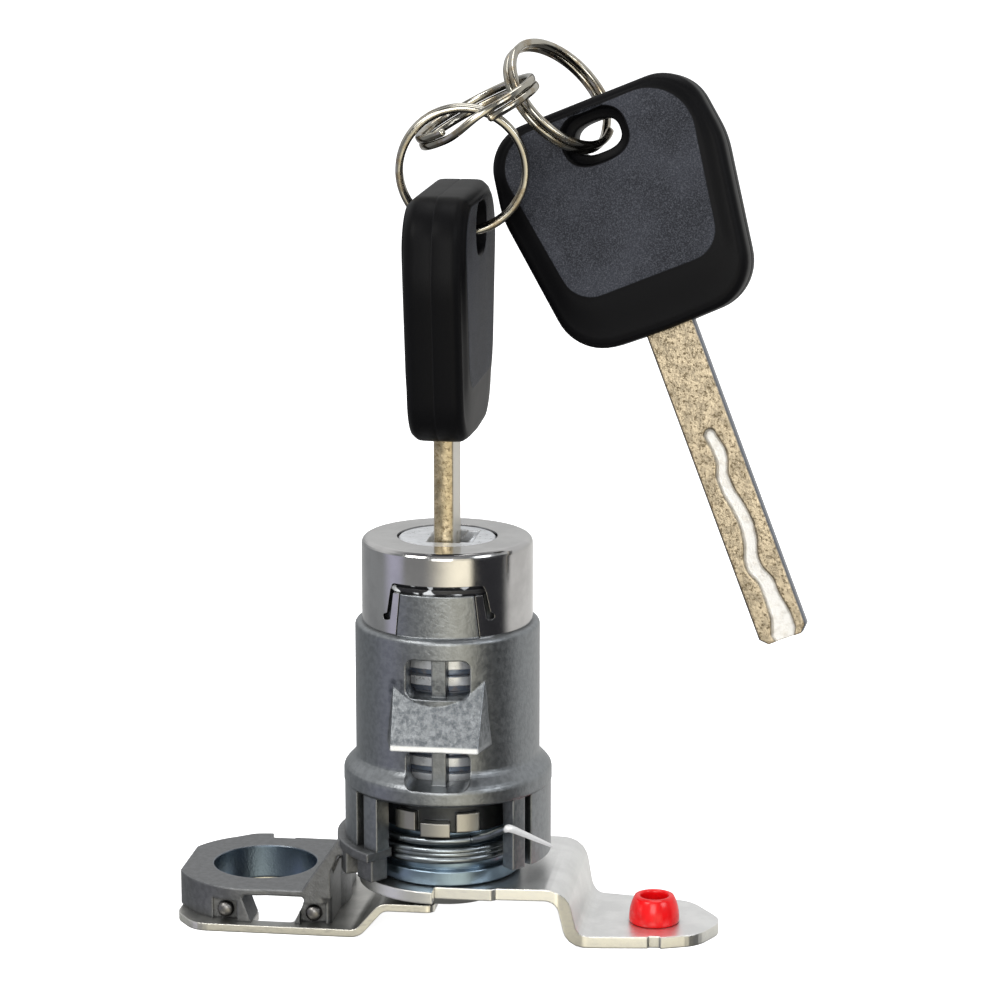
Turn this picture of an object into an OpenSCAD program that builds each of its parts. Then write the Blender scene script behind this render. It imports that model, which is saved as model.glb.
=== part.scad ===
// Car door lock cylinder with its return lever, eye bracket, inserted key and linked spare key.
// Millimetres. Z runs along the lock axis towards the key, and z = 0 is the shoulder that meets the door.
// The lever arm points along +X, the eye bracket along -X, and the windows face -Y.

/* [Head and barrel] */
// Radius of the polished face cap
cap_r = 12.1; // [11.9:0.05:12.2]
// Height of the face cap above the shoulder
cap_h = 12; // [11.8:0.1:12.6]
// Wall of the drawn face cap
cap_wall = 0.7; // [0.5:0.05:0.7]
// Radius of the opening in the face cap
face_open_r = 7.1; // [7:0.05:7.2]
// Radius of the barrel
barrel_r = 13.1; // [13:0.1:13.3]
// Length of the barrel below the shoulder
barrel_len = 18.9; // [18.8:0.1:19.2]
// Radius of the lower flange
flange_r = 14.85; // [14.7:0.05:14.9]
// Radius of the turning plug
plug_r = 9; // [8.9:0.05:9]

/* [Lever and bracket] */
// Thickness of the lever plate
lever_t = 1.7; // [1.5:0.1:1.8]
// Distance from the lock axis to the lever tip
lever_reach = 38.7; // [37:0.1:40]
// Distance from the lock axis to the red bush
bush_x = 29.7; // [28:0.1:31]
// Radius of the hole in the red bush
bush_hole_r = 2; // [1.6:0.1:2.2]
// Radius of the bracket's eye
eye_r = 7.6; // [7.2:0.1:7.8]
// Thickness of the steel strap under the eye
strap_t = 1.1; // [0.9:0.1:1.2]

/* [Keys] */
// Width of the key blade
blade_w = 6.9; // [6.7:0.1:7]
// Thickness of the key blade
blade_t = 2.8; // [2.6:0.1:2.9]
// Length of the blade below the head
blade_len = 45.2; // [44:0.1:46]
// Height of the key head
head_h = 34.4; // [34:0.1:34.8]
// Half width of the key head at its widest
head_half_w = 16.7; // [16.4:0.1:17]
// Thickness of the key head
head_t = 9.2; // [9:0.1:9.4]
// Mean radius of a split ring
ring_r = 8.7; // [8.6:0.05:8.75]
// Wire of a split ring
ring_wire = 1.1; // [1:0.05:1.12]

/* [Hidden] */
$fn = 64;
fit = 0.05;
gap = 0.3;
wafer_count = 8;
wafer_z = -3.4;
wafer_pitch = 2.35;
wafer_t = 0.95;
wafer_half_w = 4.6;
wafer_end_r = 7.95;
slot_t = 1.05;

// Heights along the lock axis
lug_top = 6;
flange_top = -21.6;
flange_bottom = -23.5;
neck_r = 7.5;
plug_top = cap_h - cap_wall - gap;
left_leg_z = -31.4;
right_leg_z = -33.7;
drum_top = -34.3;
lever_top = -36.6;
lever_bottom = lever_top - lever_t;
washer_bottom = -40.2;
floor_z = -45.7;
foot_z = floor_z + lever_t / 2;
casting_bottom = floor_z + strap_t;
casting_top = -39.6;
tab_top = washer_bottom - gap;
tail_r = 5;
tail_flat = 3.6;
leg_inner_r = 12.4;
window_w = 9;
upper_window = [-8.5, -2.9];
lower_window = [-21.3, -16.1];
front_x = 0.5;
spring_r = 10.2;
spring_wire = 1.1;

// Places across the lock axis
eye_at = [-28.2, 6.4];
rivet_x = [-31.7, -18.8];
bush_at = [bush_x, 1];
key_z = 26.8;
hole_z = head_h - 5.4;
hole_recess = 2.5;

// The groove milled along the blade: distance below the head, then offset from the middle
GROOVE = [[14.6, 0.7], [19, 1.5], [21.4, -0.2], [25, 0.8], [28, 1.3], [31, 1.7],
          [34, -0.5], [37, 1.4], [41, 1.1], [50, 1.5]];
groove_w = 2.3;
groove_depth = 0.8;

// Points and outlines

function unit(v) = v / norm(v);

// The arc of radius r that rounds corner b between its neighbours a and c
function corner_arc(a, b, c, r, n) =
    r <= 0 ? [b] :
    let (
        u = unit(a - b),
        v = unit(c - b),
        half = acos(u * v) / 2,
        centre = b + unit(u + v) * r / sin(half),
        p = b + u * r / tan(half) - centre,
        q = b + v * r / tan(half) - centre)
    [for (i = [0 : n]) centre + r * unit(p * (n - i) + q * i)];

// A closed outline from corners given as [x, y, rounding radius]
function rounded(corners, n = 5) =
    let (m = len(corners), at = function (i) [corners[(i + m) % m][0], corners[(i + m) % m][1]])
    [for (i = [0 : m - 1]) each corner_arc(at(i - 1), at(i), at(i + 1), corners[i][2], n)];

function normal(a, b) = let (u = unit(b - a)) [-u[1], u[0]];

// One side of a bent sheet: the path moved sideways by d, each bend keeping its own radius
function sheet_side(path, d, bend_r) =
    let (last = len(path) - 1)
    [for (i = [0 : last])
        let (
            n1 = normal(path[max(i - 1, 0)], path[max(i, 1)]),
            n2 = normal(path[min(i, last - 1)], path[min(i + 1, last)]),
            turn = cross(n1, n2),
            p = path[i] + (n1 + n2) * d / (1 + n1 * n2))
        [p[0], p[1], abs(turn) < 0.01 ? 0 : bend_r - d * sign(turn)]];

// The closed edge view of a sheet of thickness t bent along a path
function bent_sheet(path, t, bend_r) =
    let (one = sheet_side(path, t / 2, bend_r), other = sheet_side(path, -t / 2, bend_r))
    rounded(concat(one, [for (i = [len(other) - 1 : -1 : 0]) other[i]]));

// A smooth curve through the groove's points, easing from one to the next
function groove_at(s, i = 0) =
    s <= GROOVE[i + 1][0] || i == len(GROOVE) - 2
        ? let (a = GROOVE[i], b = GROOVE[i + 1], f = (s - a[0]) / (b[0] - a[0]))
          a[1] + (b[1] - a[1]) * (1 - cos(180 * f)) / 2
        : groove_at(s, i + 1);

// The faces of a tube with a round section: rings of n points along a path, closed by its two ends
module wire(path, r, n = 8) {
    last = len(path) - 1;
    points = [for (i = [0 : last])
        let (
            along = unit(path[min(i + 1, last)] - path[max(i - 1, 0)]),
            side = unit(cross(along, [0, 0, 1])),
            up = cross(side, along))
        for (k = [0 : n - 1]) path[i] + r * (side * cos(360 * k / n) + up * sin(360 * k / n))];
    // Two triangles for each stretch of each side
    sides = [for (i = [0 : last - 1], k = [0 : n - 1])
        let (a = i * n + k, b = i * n + (k + 1) % n)
        each [[a, b, b + n], [a, b + n, a + n]]];
    start = [for (k = [n - 1 : -1 : 0]) k];
    end = [for (k = [0 : n - 1]) last * n + k];
    polyhedron(points, concat(sides, [start, end]), convexity = 6);
}

// A helix of round wire about Z, from the height z0 to z1
module coil(r, z0, z1, turns, wire_r, steps = 12, n = 4) {
    count = ceil(turns * steps);
    wire([for (i = [0 : count])
        [r * cos(360 * turns * i / count), r * sin(360 * turns * i / count), z0 + (z1 - z0) * i / count]],
        wire_r, n);
}

// A wall of a ring between two angles, measured from +X
module sector(r_in, r_out, z0, z1, from, to) {
    translate([0, 0, z0])
        rotate([0, 0, from])
            rotate_extrude(angle = to - from)
                translate([r_in, 0]) square([r_out - r_in, z1 - z0]);
}

// An outline in X and Z, made solid between two depths y0 and y1
module across(outline, y0, y1) {
    translate([0, y1, 0]) rotate([90, 0, 0]) linear_extrude(y1 - y0) polygon(outline);
}

// An outline in X and Y, made solid between two heights
module upright(outline, z0, z1) {
    translate([0, 0, z0]) linear_extrude(z1 - z0) polygon(outline);
}

module ring(r_out, r_in, z0, z1) {
    rotate_extrude() translate([r_in, z0]) square([r_out - r_in, z1 - z0]);
}

// Housing

module housing_turned() {
    ramp = [for (i = [0 : 6])
        [barrel_r + (flange_r - barrel_r) * (1 - cos(30 * i)) / 2,
         -barrel_len + (flange_top + barrel_len) * i / 6]];
    crown = [for (i = [0 : 4]) [barrel_r - 0.7 + 0.7 * cos(22.5 * i), -0.7 + 0.7 * sin(22.5 * i)]];
    core_r = cap_r - cap_wall - 0.02;
    rotate_extrude()
        polygon(concat(
            [[plug_r + fit, flange_bottom], [flange_r - 0.3, flange_bottom], [flange_r, flange_bottom + 0.3]],
            [for (i = [6 : -1 : 0]) ramp[i]],
            crown,
            [[core_r, 0], [core_r, lug_top], [plug_r + 0.95, lug_top],
             [plug_r + 0.95, plug_top + gap - 0.02], [plug_r + fit, plug_top + gap - 0.02]]));
}

module head_lug() {
    intersection() {
        cylinder(r = cap_r, h = lug_top);
        across([[-5.5, 0], [6, 0], [5.35, lug_top], [-4.9, lug_top]], -13, -9);
    }
}

// The wedge that the retaining clip snaps over: a front face that slopes out towards the foot,
// and side walls that spread back to the barrel
module clip_wedge() {
    foot = [6.1, -16.2, -15.1];
    spread = [7.4, -11, -15.1];
    top = [6.4, -11, -5.7];
    left = [for (p = [foot, spread, top]) [-p[0], p[1], p[2]]];
    polyhedron(concat(left, [foot, spread, top]),
        [[0, 2, 5], [0, 5, 3], [0, 3, 4], [0, 4, 1], [1, 4, 5], [1, 5, 2], [0, 1, 2], [3, 5, 4]]);
}

module window_cut(span) {
    h = span[1] - span[0];
    w = window_w / 2;
    translate([front_x, 0, 0])
        across(rounded([[-w, span[0], 1.2], [w, span[0], 1.2], [w, span[1], 1.2], [-w, span[1], 1.2]]), -18, -7);
}

module legs() {
    top = flange_bottom + 0.5;
    outer = flange_r - 0.1;
    sector(leg_inner_r + 0.6, outer, left_leg_z, top, 150, 217.4);
    sector(leg_inner_r - 0.4, outer - 0.3, left_leg_z, top, 223.4, 234.6);
    sector(leg_inner_r, outer, right_leg_z, top, -28.8, 35);
    sector(leg_inner_r, outer - 0.1, right_leg_z, top, -42.9, -33.9);
}

module housing() color("#8f9aa1") {
    difference() {
        union() {
            difference() {
                union() {
                    housing_turned();
                    head_lug();
                    translate([front_x, 0, 0]) clip_wedge();
                }
                window_cut(upper_window);
                window_cut(lower_window);
            }
            for (span = [upper_window, lower_window])
                translate([front_x - 1, -barrel_r + 1.4, span[0] - 0.2]) cube([2, 4, span[1] - span[0] + 0.4]);
            legs();
        }
        translate([0, 0, flange_bottom - 1]) cylinder(r = plug_r + fit, h = cap_h - flange_bottom + 2);
        // The groove that the sidebar drops into
        across([[plug_r - 1, flange_bottom - 1], [plug_r + 0.75, flange_bottom - 1],
                [plug_r + 0.75, -1.5], [plug_r - 1, -1.5]], -0.8, 0.8);
    }
}

// The drawn cap, crimped over the head, with its front opening and the two hooked slits beside the lug
module face_cap() color("#b9b4ac") {
    edge = 0.9;
    inner = cap_r - cap_wall;
    difference() {
        rotate_extrude()
            polygon(concat(
                [[inner, 0], [cap_r, 0]],
                [for (i = [0 : 5])
                    [cap_r - edge + edge * cos(18 * i), cap_h - edge + edge * sin(18 * i)]],
                [[face_open_r, cap_h], [face_open_r, cap_h - cap_wall],
                 [inner - 0.4, cap_h - cap_wall], [inner, cap_h - cap_wall - 0.4]]));
        across([[-5.75, -1], [6.25, -1], [5.5, lug_top + 0.1], [-5.05, lug_top + 0.1]], -14, -8);
        across(rounded([[-6.5, 6, 0.3], [7, 6, 0.3], [6.6, 7.4, 0.5], [-6.1, 7.4, 0.5]]), -14, -7);
        across(rounded([[6.9, 6.6, 0], [6.4, 6.6, 0], [7, 2.5, 0.3], [8, 2.3, 0.4],
                        [8, 3.2, 0.4], [7.5, 3.5, 0]]), -14, -6);
        across(rounded([[-6.4, 6.6, 0], [-5.9, 6.6, 0], [-6.5, 2.1, 0.3], [-7.6, 1.8, 0.4],
                        [-7.6, 2.7, 0.4], [-7, 3, 0]]), -14, -6);
    }
}

// The rubber sleeve that fills the head between the plug's neck and the cap
module dust_seal() color("#26272a") {
    outer = cap_r - cap_wall - 0.08;
    inner = plug_r + 0.97;
    rotate_extrude()
        polygon([[inner, lug_top + 0.02], [outer, lug_top + 0.02], [outer, 6.7], [outer - 0.35, 7],
                 [outer, 7.3], [outer, 10.6], [outer - 0.5, plug_top + 0.2], [inner, plug_top + 0.2]]);
}

// Eye bracket

module eye_bracket() color("#85898c") {
    wall = 12.7;
    difference() {
        union() {
            intersection() {
                translate([eye_at[0], eye_at[1], casting_bottom])
                    cylinder(r = wall, h = casting_top - casting_bottom);
                translate([eye_at[0] - 11.5, eye_at[1] - 20, casting_bottom]) cube([24.4, 31.2, 20]);
            }
            // The lug at the back and the shoulder that carries the arm
            upright(rounded([[-38, 12, 0], [-29.6, 12, 0], [-29.6, 19.6, 0.3], [-32.4, 19.2, 3],
                             [-36, 16.3, 4]]), casting_bottom, casting_top);
            upright(rounded([[-26, -6, 0], [-17.4, -6, 1.2], [-16.2, -4.8, 1.2], [-16.2, 15.5, 2],
                             [-19, 18, 2], [-26, 18, 0]]), casting_bottom, casting_top);
            // The web that climbs from the eye to the left leg
            across([[-21.5, casting_top - 1], [-20.4, casting_top], [-15, -31.6], [-12.4, -31.6],
                    [-12.4, -33.4], [-15.2, -34.2], [-16.2, -36.6], [-16.2, casting_top - 1]], -6, -3.6);
            across([[-20, casting_top - 1], [-18.6, casting_top], [-14.6, -34], [-12.4, left_leg_z],
                    [-12.4, -33.4], [-15.2, -35.2], [-16.2, -37.6], [-16.2, casting_top - 1]], -3.7, 7);
            sector(11.2, 15.9, -32.7, left_leg_z, 150, 233);
            sector(11.7, 15.5, -36.2, -32.2, 198, 209);
            sector(11.7, 14.6, -36, -32.2, 217, 231);
        }
        translate([eye_at[0], eye_at[1], casting_bottom - 1]) cylinder(r = eye_r, h = 20);
        across(rounded([[-29.3, -40.5, 0.5], [-19.8, -40.5, 0.5], [-21.9, casting_bottom - 1, 0],
                        [-27.4, casting_bottom - 1, 0]]), -8, eye_at[1]);
        for (x = rivet_x) translate([x - 1.9, -8, casting_bottom - 0.3]) cube([3.8, 3.2, 3.4]);
    }
}

// The flat steel strap: it backs the eye, then steps up to a tab under the tail
module bracket_strap() color("#c3bfb2") {
    low = floor_z + strap_t / 2;
    high = tab_top - strap_t / 2;
    difference() {
        intersection() {
            across(bent_sheet([[-42, low], [-12.1, low], [-8.6, high], [2, high]], strap_t, 2.2), -20, 30);
            upright(rounded([[-39.3, -3.2, 4], [-36, -7.6, 4], [-12, -7.4, 1], [-1, -7.2, 1.2], [-1, 6, 2],
                             [-11, 6, 2], [-15.5, 17.2, 3], [-33.5, 17.4, 4], [-39.2, 13, 4]]), -60, -30);
        }
        translate([eye_at[0], eye_at[1], floor_z - 1]) cylinder(r = eye_r + 0.5, h = 4);
        // The bracket's front opening goes on down through the strap
        upright(rounded([[-27.6, -5.4, 0.6], [-21.7, -5.4, 0.6], [-21.7, 3, 0], [-27.6, 3, 0]]), floor_z - 1, floor_z + 3);
    }
}

// Two domed rivets set into the front of the bracket
module bracket_rivets() color("#9c9a94") {
    for (x = rivet_x)
        translate([x, -4.8, -43.1]) rotate([90, 0, 0])
            rotate_extrude()
                polygon(concat([[0, 0], [1.2, 0]],
                    [for (i = [0 : 5]) [1.2 * cos(18 * i), 0.3 + 0.8 * sin(18 * i)]]));
}

// Plug and its inside

module wafer_slots() {
    for (i = [0 : wafer_count - 1])
        translate([0, 0, wafer_z - wafer_pitch * i]) {
            translate([-wafer_half_w - 0.1, -plug_r - 1, -slot_t / 2])
                cube([2 * wafer_half_w + 0.2, 2 * plug_r + 2, slot_t]);
            translate([-6.6, -3.5, -0.65]) cube([2.1, 7.6, 1.3]);
        }
}

module plug() color("#a9a49a") {
    tail_bottom = washer_bottom;
    difference() {
        rotate_extrude()
            polygon([[0, tail_bottom], [tail_r - 0.4, tail_bottom], [tail_r, tail_bottom + 0.3],
                     [tail_r, tail_bottom + 0.4], [tail_r - 0.6, tail_bottom + 0.4],
                     [tail_r - 0.6, tail_bottom + 1.1], [tail_r, tail_bottom + 1.1],
                     [tail_r, lever_top], [neck_r, lever_top], [neck_r, flange_bottom - 0.25],
                     [plug_r, flange_bottom - 0.25], [plug_r, plug_top - 0.3], [plug_r - 0.3, plug_top],
                     [face_open_r - 0.12, plug_top], [face_open_r - 0.12, cap_h - 0.4],
                     [face_open_r - 0.42, cap_h - 0.1], [0, cap_h - 0.1]]);
        // Keyway, with its flared mouth
        translate([-1.6, -blade_w / 2 - 0.2, -22.3]) cube([3.2, blade_w + 0.4, 40]);
        across([[-1.6, cap_h - 1.2], [1.6, cap_h - 1.2], [2.5, cap_h], [-2.5, cap_h]], -4.2, 4.2);
        // Pocket that the shutter folds back into
        translate([1.5, -3.65, 4.6]) cube([2.6, 7.3, 8]);
        wafer_slots();
        // Groove for the sidebar, with a pocket for each of its springs
        translate([4.6, -0.95, -23]) cube([6, 1.9, 21.8]);
        // Flats on the tail
        for (side = [0, 180])
            rotate([0, 0, side]) translate([-10, tail_flat, washer_bottom - 1])
                cube([20, 10, lever_top - washer_bottom + 1]);
    }
}

module wafer(i) color("#d3b877") {
    w = wafer_half_w;
    difference() {
        translate([0, 0, wafer_z - wafer_pitch * i - wafer_t / 2]) {
            intersection() {
                cylinder(r = wafer_end_r, h = wafer_t);
                translate([-w, -10, 0]) cube([2 * w, 20, wafer_t]);
            }
            translate([-6.3, 1.9, 0]) cube([2, 1, wafer_t]);
        }
        upright(rounded([[-1.8, -4.6, 0.6], [1.8, -4.6, 0.6], [1.8, 4.6, 0.6], [-1.8, 4.6, 0.6]]), -30, 0);
        upright([[w - 0.6, -0.3], [w + 1, -1.5], [w + 1, 1.5], [w - 0.6, 0.3]], -30, 0);
    }
}

module wafer_springs() color("#cfd2d4") {
    for (i = [0 : wafer_count - 1])
        translate([-5.55, 0, wafer_z - wafer_pitch * i]) rotate([90, 0, 0])
            coil(0.4, -1.75, 3.3, 5, 0.11, 8, 4);
}

module sidebar() color("#c8b27a") {
    across([[wafer_half_w + 0.2, -21.9], [plug_r - 0.15, -21.9], [plug_r - 0.15, -2.2],
            [wafer_half_w + 0.2, -2.2], [wafer_half_w + 0.2, -3], [6.8, -3.4], [6.8, -4.4],
            [wafer_half_w + 0.2, -4.8]], -0.8, 0.8);
}

module sidebar_springs() color("#cfd2d4") {
    for (z = [-1.75, -22.4])
        translate([0, 0, z]) rotate([0, 90, 0]) coil(0.36, 5, 8.6, 5, 0.09, 8, 4);
}

// The thin flap that closes the keyway, here held open by the blade
module shutter() color("#b5b8ba") {
    across([[2.1, 5], [2.5, 5], [2.6, 9.4], [3.6, 9.7], [3.6, 10.1], [2.3, 10], [2.1, 9.6]], -3.3, 3.3);
}

module shutter_pin() color("#9fa3a6") {
    translate([3.2, 3.6, 10.6]) rotate([90, 0, 0]) cylinder(r = 0.42, h = 7.2);
}

// Tail: stop ring, spring, drum, lever, washer and clip

// A sleeve with three raised teeth at the front, the middle one longer and lower, and one at the back
module stop_ring() color("#3d4043") {
    ring(9.7, neck_r + 0.02, -28.7, flange_bottom - gap);
    for (from = [-125, -75, 80]) sector(9.5, 10.75, -28.4, -25.7, from, from + 18);
    sector(9.5, 11.5, -28.9, -26.9, -101, -80);
}

// Four turns in two pairs, with an arm that hooks outside the right leg and a short foot
module return_spring() color("#8b9096") {
    turns = 3.75;
    steps = 30;
    count = turns * steps;
    start = -62;
    top_z = -29.7;
    low_z = -33.75;
    // Height: the pitch is close in each pair and opens by half as much again between the pairs
    height = function (f) top_z + (low_z - top_z) * f - 0.42 * sin(360 * f);
    helix = [for (i = [0 : count])
        let (a = start - 360 * turns * i / count)
        [spring_r * cos(a), spring_r * sin(a), height(i / count)]];
    arm = [[16, -7, -30.2], [10.4, -12.3, -26.7], [9.5, -11.9, -26.7], [7.8, -10.3, -27.7],
           [6.2, -9.2, -29.1]];
    wire(concat(arm, helix), spring_wire / 2, 8);
}

// The flanged bush that carries the spring
module spring_drum() color("#7f93a6") {
    rotate_extrude()
        polygon([[neck_r + 0.02, -28.75], [9.2, -28.75], [9.35, -29], [9.35, drum_top], [10.3, drum_top],
                 [10.4, drum_top - 0.15], [10.4, lever_top + 0.35], [10.1, lever_top + 0.05],
                 [neck_r + 0.02, lever_top + 0.05]]);
}

// The hole that the tail's two flats drive
module tail_hole() {
    slack = 0.03;
    intersection() {
        translate([0, 0, washer_bottom]) cylinder(r = tail_r + slack, h = lever_top + 1 - washer_bottom);
        translate([-10, -tail_flat - slack, washer_bottom - 1]) cube([20, 2 * (tail_flat + slack), 10]);
    }
}

// The pressed lever: a round hub, a flat arm, a bend down and a foot for the control rod
module lever() color("#c9c3b4") {
    mid = lever_top - lever_t / 2;
    difference() {
        intersection() {
            across(bent_sheet([[-15, mid], [17.4, mid], [19, foot_z], [45, foot_z]], lever_t, 2.8), -20, 20);
            union() {
                difference() {
                    translate([0, 0, -50]) cylinder(r = 12.8, h = 20);
                    translate([-0.4, -20, -51]) cube([20, 9.7, 22]);
                }
                upright(rounded([[-0.4, -10.3, 0], [16.8, -9.2, 1.5], [20.6, -7.3, 3], [29.4, -6.2, 0],
                                 [29.6, -5.8, 0], [31.1, -5.7, 0], [31.3, -6.1, 0], [36.4, -4.2, 5],
                                 [lever_reach + 0.9, 2.2, 4.5], [34.2, 10.2, 5], [20.4, 12.2, 2],
                                 [18.4, 14.8, 2], [12.6, 15.1, 3], [-0.4, 11.5, 0]]), -50, -30);
            }
        }
        tail_hole();
        translate([bush_at[0], bush_at[1], -50]) cylinder(r = bush_hole_r + 0.62, h = 10);
    }
}

// The red bush: a domed collar above the foot, and a neck through it
module rod_bush() color("#d8141c") {
    top = floor_z + lever_t;
    translate([bush_at[0], bush_at[1], top])
        rotate_extrude()
            polygon(concat(
                [[bush_hole_r, -lever_t + 0.1], [bush_hole_r + 0.6, -lever_t + 0.1],
                 [bush_hole_r + 0.6, 0], [3.5, 0]],
                [for (i = [0 : 6]) [2.7 + 0.95 * cos(15 * i), 0.7 + 3.2 * sin(15 * i)]],
                [[bush_hole_r + 0.3, 3.85], [bush_hole_r, 3.55]]));
}

// The dished washer that backs the lever
module tail_washer() color("#a8a69f") {
    top = lever_bottom - 0.02;
    rotate_extrude()
        polygon([[tail_r + 0.03, top], [8.9, top], [9, top - 0.25], [7.6, washer_bottom + 0.2],
                 [7, washer_bottom], [6.6, washer_bottom], [6.6, top - 0.5], [tail_r + 0.03, top - 0.5]]);
}

module tail_clip() color("#55585b") {
    sector(tail_r - 0.57, 6.4, washer_bottom + 0.45, washer_bottom + 1.05, 35, 325);
}

// Keys and split rings

module blade_shape() {
    half = blade_w / 2;
    tip = -blade_len;
    steps = 48;
    first = GROOVE[0][0];
    groove = [for (i = [0 : steps])
        let (s = first + (blade_len + 1 - first) * i / steps)
        [groove_at(s), -s]];
    difference() {
        rotate([90, 0, 90]) linear_extrude(blade_t, center = true)
            polygon([[-half, tip + 1], [-half + 1, tip], [half - 1, tip], [half, tip + 1],
                     [half, 7.5], [half - 1, 8.5], [-half + 1, 8.5], [-half, 7.5]]);
        for (side = [0, 1])
            mirror([side, 0, 0]) translate([blade_t / 2 - groove_depth, 0, 0])
                rotate([90, 0, 90]) linear_extrude(2)
                    polygon(concat(
                        [for (p = groove) p + [groove_w / 2, 0]],
                        [for (i = [steps : -1 : 0]) groove[i] - [groove_w / 2, 0]]));
    }
}

function head_outline(inset_side, inset_low, inset_top) =
    let (w = head_half_w - inset_side, low = inset_low, top = head_h - inset_top, r = 1 - inset_side / 14)
    rounded([[-w + 1.5, top, 6.6 * r], [w - 1.5, top, 6.6 * r], [w + 0.2, 23, 14],
             [w - 3.1, low, 7.2 * r], [0, low - 0.5, 40], [-w + 3.1, low, 7.2 * r], [-w - 0.2, 23, 14]]);

module head_slab(outline, half) {
    rotate([90, 0, 90]) linear_extrude(2 * half, center = true) polygon(outline);
}

// Half of an oval cut across the head at the ring's hole, from a depth outwards along +X
module oval_cut(spread, r, from) {
    for (y = [-spread, spread])
        translate([from, y, hole_z]) rotate([0, 90, 0]) cylinder(r = r, h = 10);
    translate([from, -spread, hole_z - r]) cube([10, 2 * spread, 2 * r]);
}

// The moulded head: a rounded rim, bevelled up to a raised face on each side, with the ring's hole
module head_shape() {
    half = head_t / 2;
    difference() {
        union() {
            hull() {
                head_slab(head_outline(0, 0.5, 0), half * 0.62);
                head_slab(head_outline(0.5, 0.9, 0.5), half * 0.72);
            }
            hull() {
                head_slab(head_outline(0.5, 0.9, 0.5), half * 0.72);
                head_slab(head_outline(2.4, 6.4, 1.9), half);
            }
        }
        for (side = [0, 1])
            mirror([side, 0, 0]) {
                oval_cut(1.35, 2.15, -0.1);
                oval_cut(1.2, 3.6, half - hole_recess);
            }
        translate([-blade_t / 2, -blade_w / 2, -1]) cube([blade_t, blade_w, 9.5]);
    }
}

// Two turns of flattened wire side by side, crossing over in an eased step
module split_ring() {
    steps = 36;
    turns = 1.96;
    path = [for (i = [0 : turns * steps])
        let (
            a = 360 * i / steps,
            f = min(max((a - 320) / 60, 0), 1))
        [ring_r * cos(a), ring_r * sin(a), ring_wire * 1.04 * ((1 - cos(180 * f)) / 2 - 0.5)]];
    wire(path, ring_wire / 2, 8);
}

module key_blade() color("#b7ae97") translate([0, 0, key_z]) blade_shape();
module key_head() color("#1d1e22") translate([0, 0, key_z]) head_shape();

// The spare key faces the viewer, tipped so that its blade leans away from the lock
module spare_place() {
    translate([20.45, 8.25, 67.59]) rotate([0, -12.3, 8 - 90]) rotate([20.3, 0, 0])
        rotate([0, 0, -14]) translate([0, 0, -hole_z]) children();
}
module spare_blade() color("#b7ae97") spare_place() blade_shape();
module spare_head() color("#1d1e22") spare_place() head_shape();

// A split ring about a centre, with its axis at an angle from +Z and turned about Z from +X
module ring_place(centre, tilt, heading, spin) {
    translate(centre) rotate([0, tilt, heading]) rotate([0, 0, spin]) split_ring();
}
module split_ring_a() color("#c9cbcc") ring_place([2.24, 0.1, 63.61], 96.7, -82, 57.2);
module split_ring_b() color("#c9cbcc") ring_place([14.58, 8.74, 73.09], 50.8, -30.4, 200);
module split_ring_c() color("#c9cbcc") ring_place([4.21, 0.66, 71.59], 152, 11.9, 120);

housing();
face_cap();
dust_seal();
eye_bracket();
bracket_strap();
bracket_rivets();
plug();
shutter();
shutter_pin();
sidebar();
sidebar_springs();
wafer_springs();
stop_ring();
return_spring();
spring_drum();
lever();
rod_bush();
tail_washer();
tail_clip();
key_blade();
key_head();
split_ring_a();
split_ring_b();
split_ring_c();
spare_blade();
spare_head();
wafer(0);  // wafer_1
wafer(1);  // wafer_2
wafer(2);  // wafer_3
wafer(3);  // wafer_4
wafer(4);  // wafer_5
wafer(5);  // wafer_6
wafer(6);  // wafer_7
wafer(7);  // wafer_8
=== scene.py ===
"""Looks of a car door lock cylinder with its keys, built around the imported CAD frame. Metres throughout."""
import logging
import math
from collections.abc import Callable
from dataclasses import dataclass
from enum import Enum

import bpy
import numpy as np
from mathutils import Matrix, Vector


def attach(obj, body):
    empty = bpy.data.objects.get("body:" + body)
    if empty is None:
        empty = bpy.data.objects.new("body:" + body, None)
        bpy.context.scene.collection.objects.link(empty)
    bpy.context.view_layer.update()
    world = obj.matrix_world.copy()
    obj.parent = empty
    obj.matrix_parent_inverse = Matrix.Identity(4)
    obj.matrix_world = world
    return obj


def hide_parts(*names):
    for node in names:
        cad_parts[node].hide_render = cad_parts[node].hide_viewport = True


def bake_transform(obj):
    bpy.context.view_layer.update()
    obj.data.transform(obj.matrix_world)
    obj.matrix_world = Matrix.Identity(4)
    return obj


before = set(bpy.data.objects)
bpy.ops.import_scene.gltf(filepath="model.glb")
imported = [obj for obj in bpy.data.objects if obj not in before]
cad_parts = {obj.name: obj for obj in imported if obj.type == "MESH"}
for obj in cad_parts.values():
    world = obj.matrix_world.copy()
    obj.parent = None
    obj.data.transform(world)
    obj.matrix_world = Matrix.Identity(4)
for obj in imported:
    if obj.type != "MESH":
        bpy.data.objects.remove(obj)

LOG = logging.getLogger("door_lock")
MM = 0.001
Colour = tuple[float, float, float]
Point = tuple[float, float, float]
EYE_AT = (-28.2, 6.4)
SPARE_HOLE = (20.45, 8.25, 67.59)


# Shader graph


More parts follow.
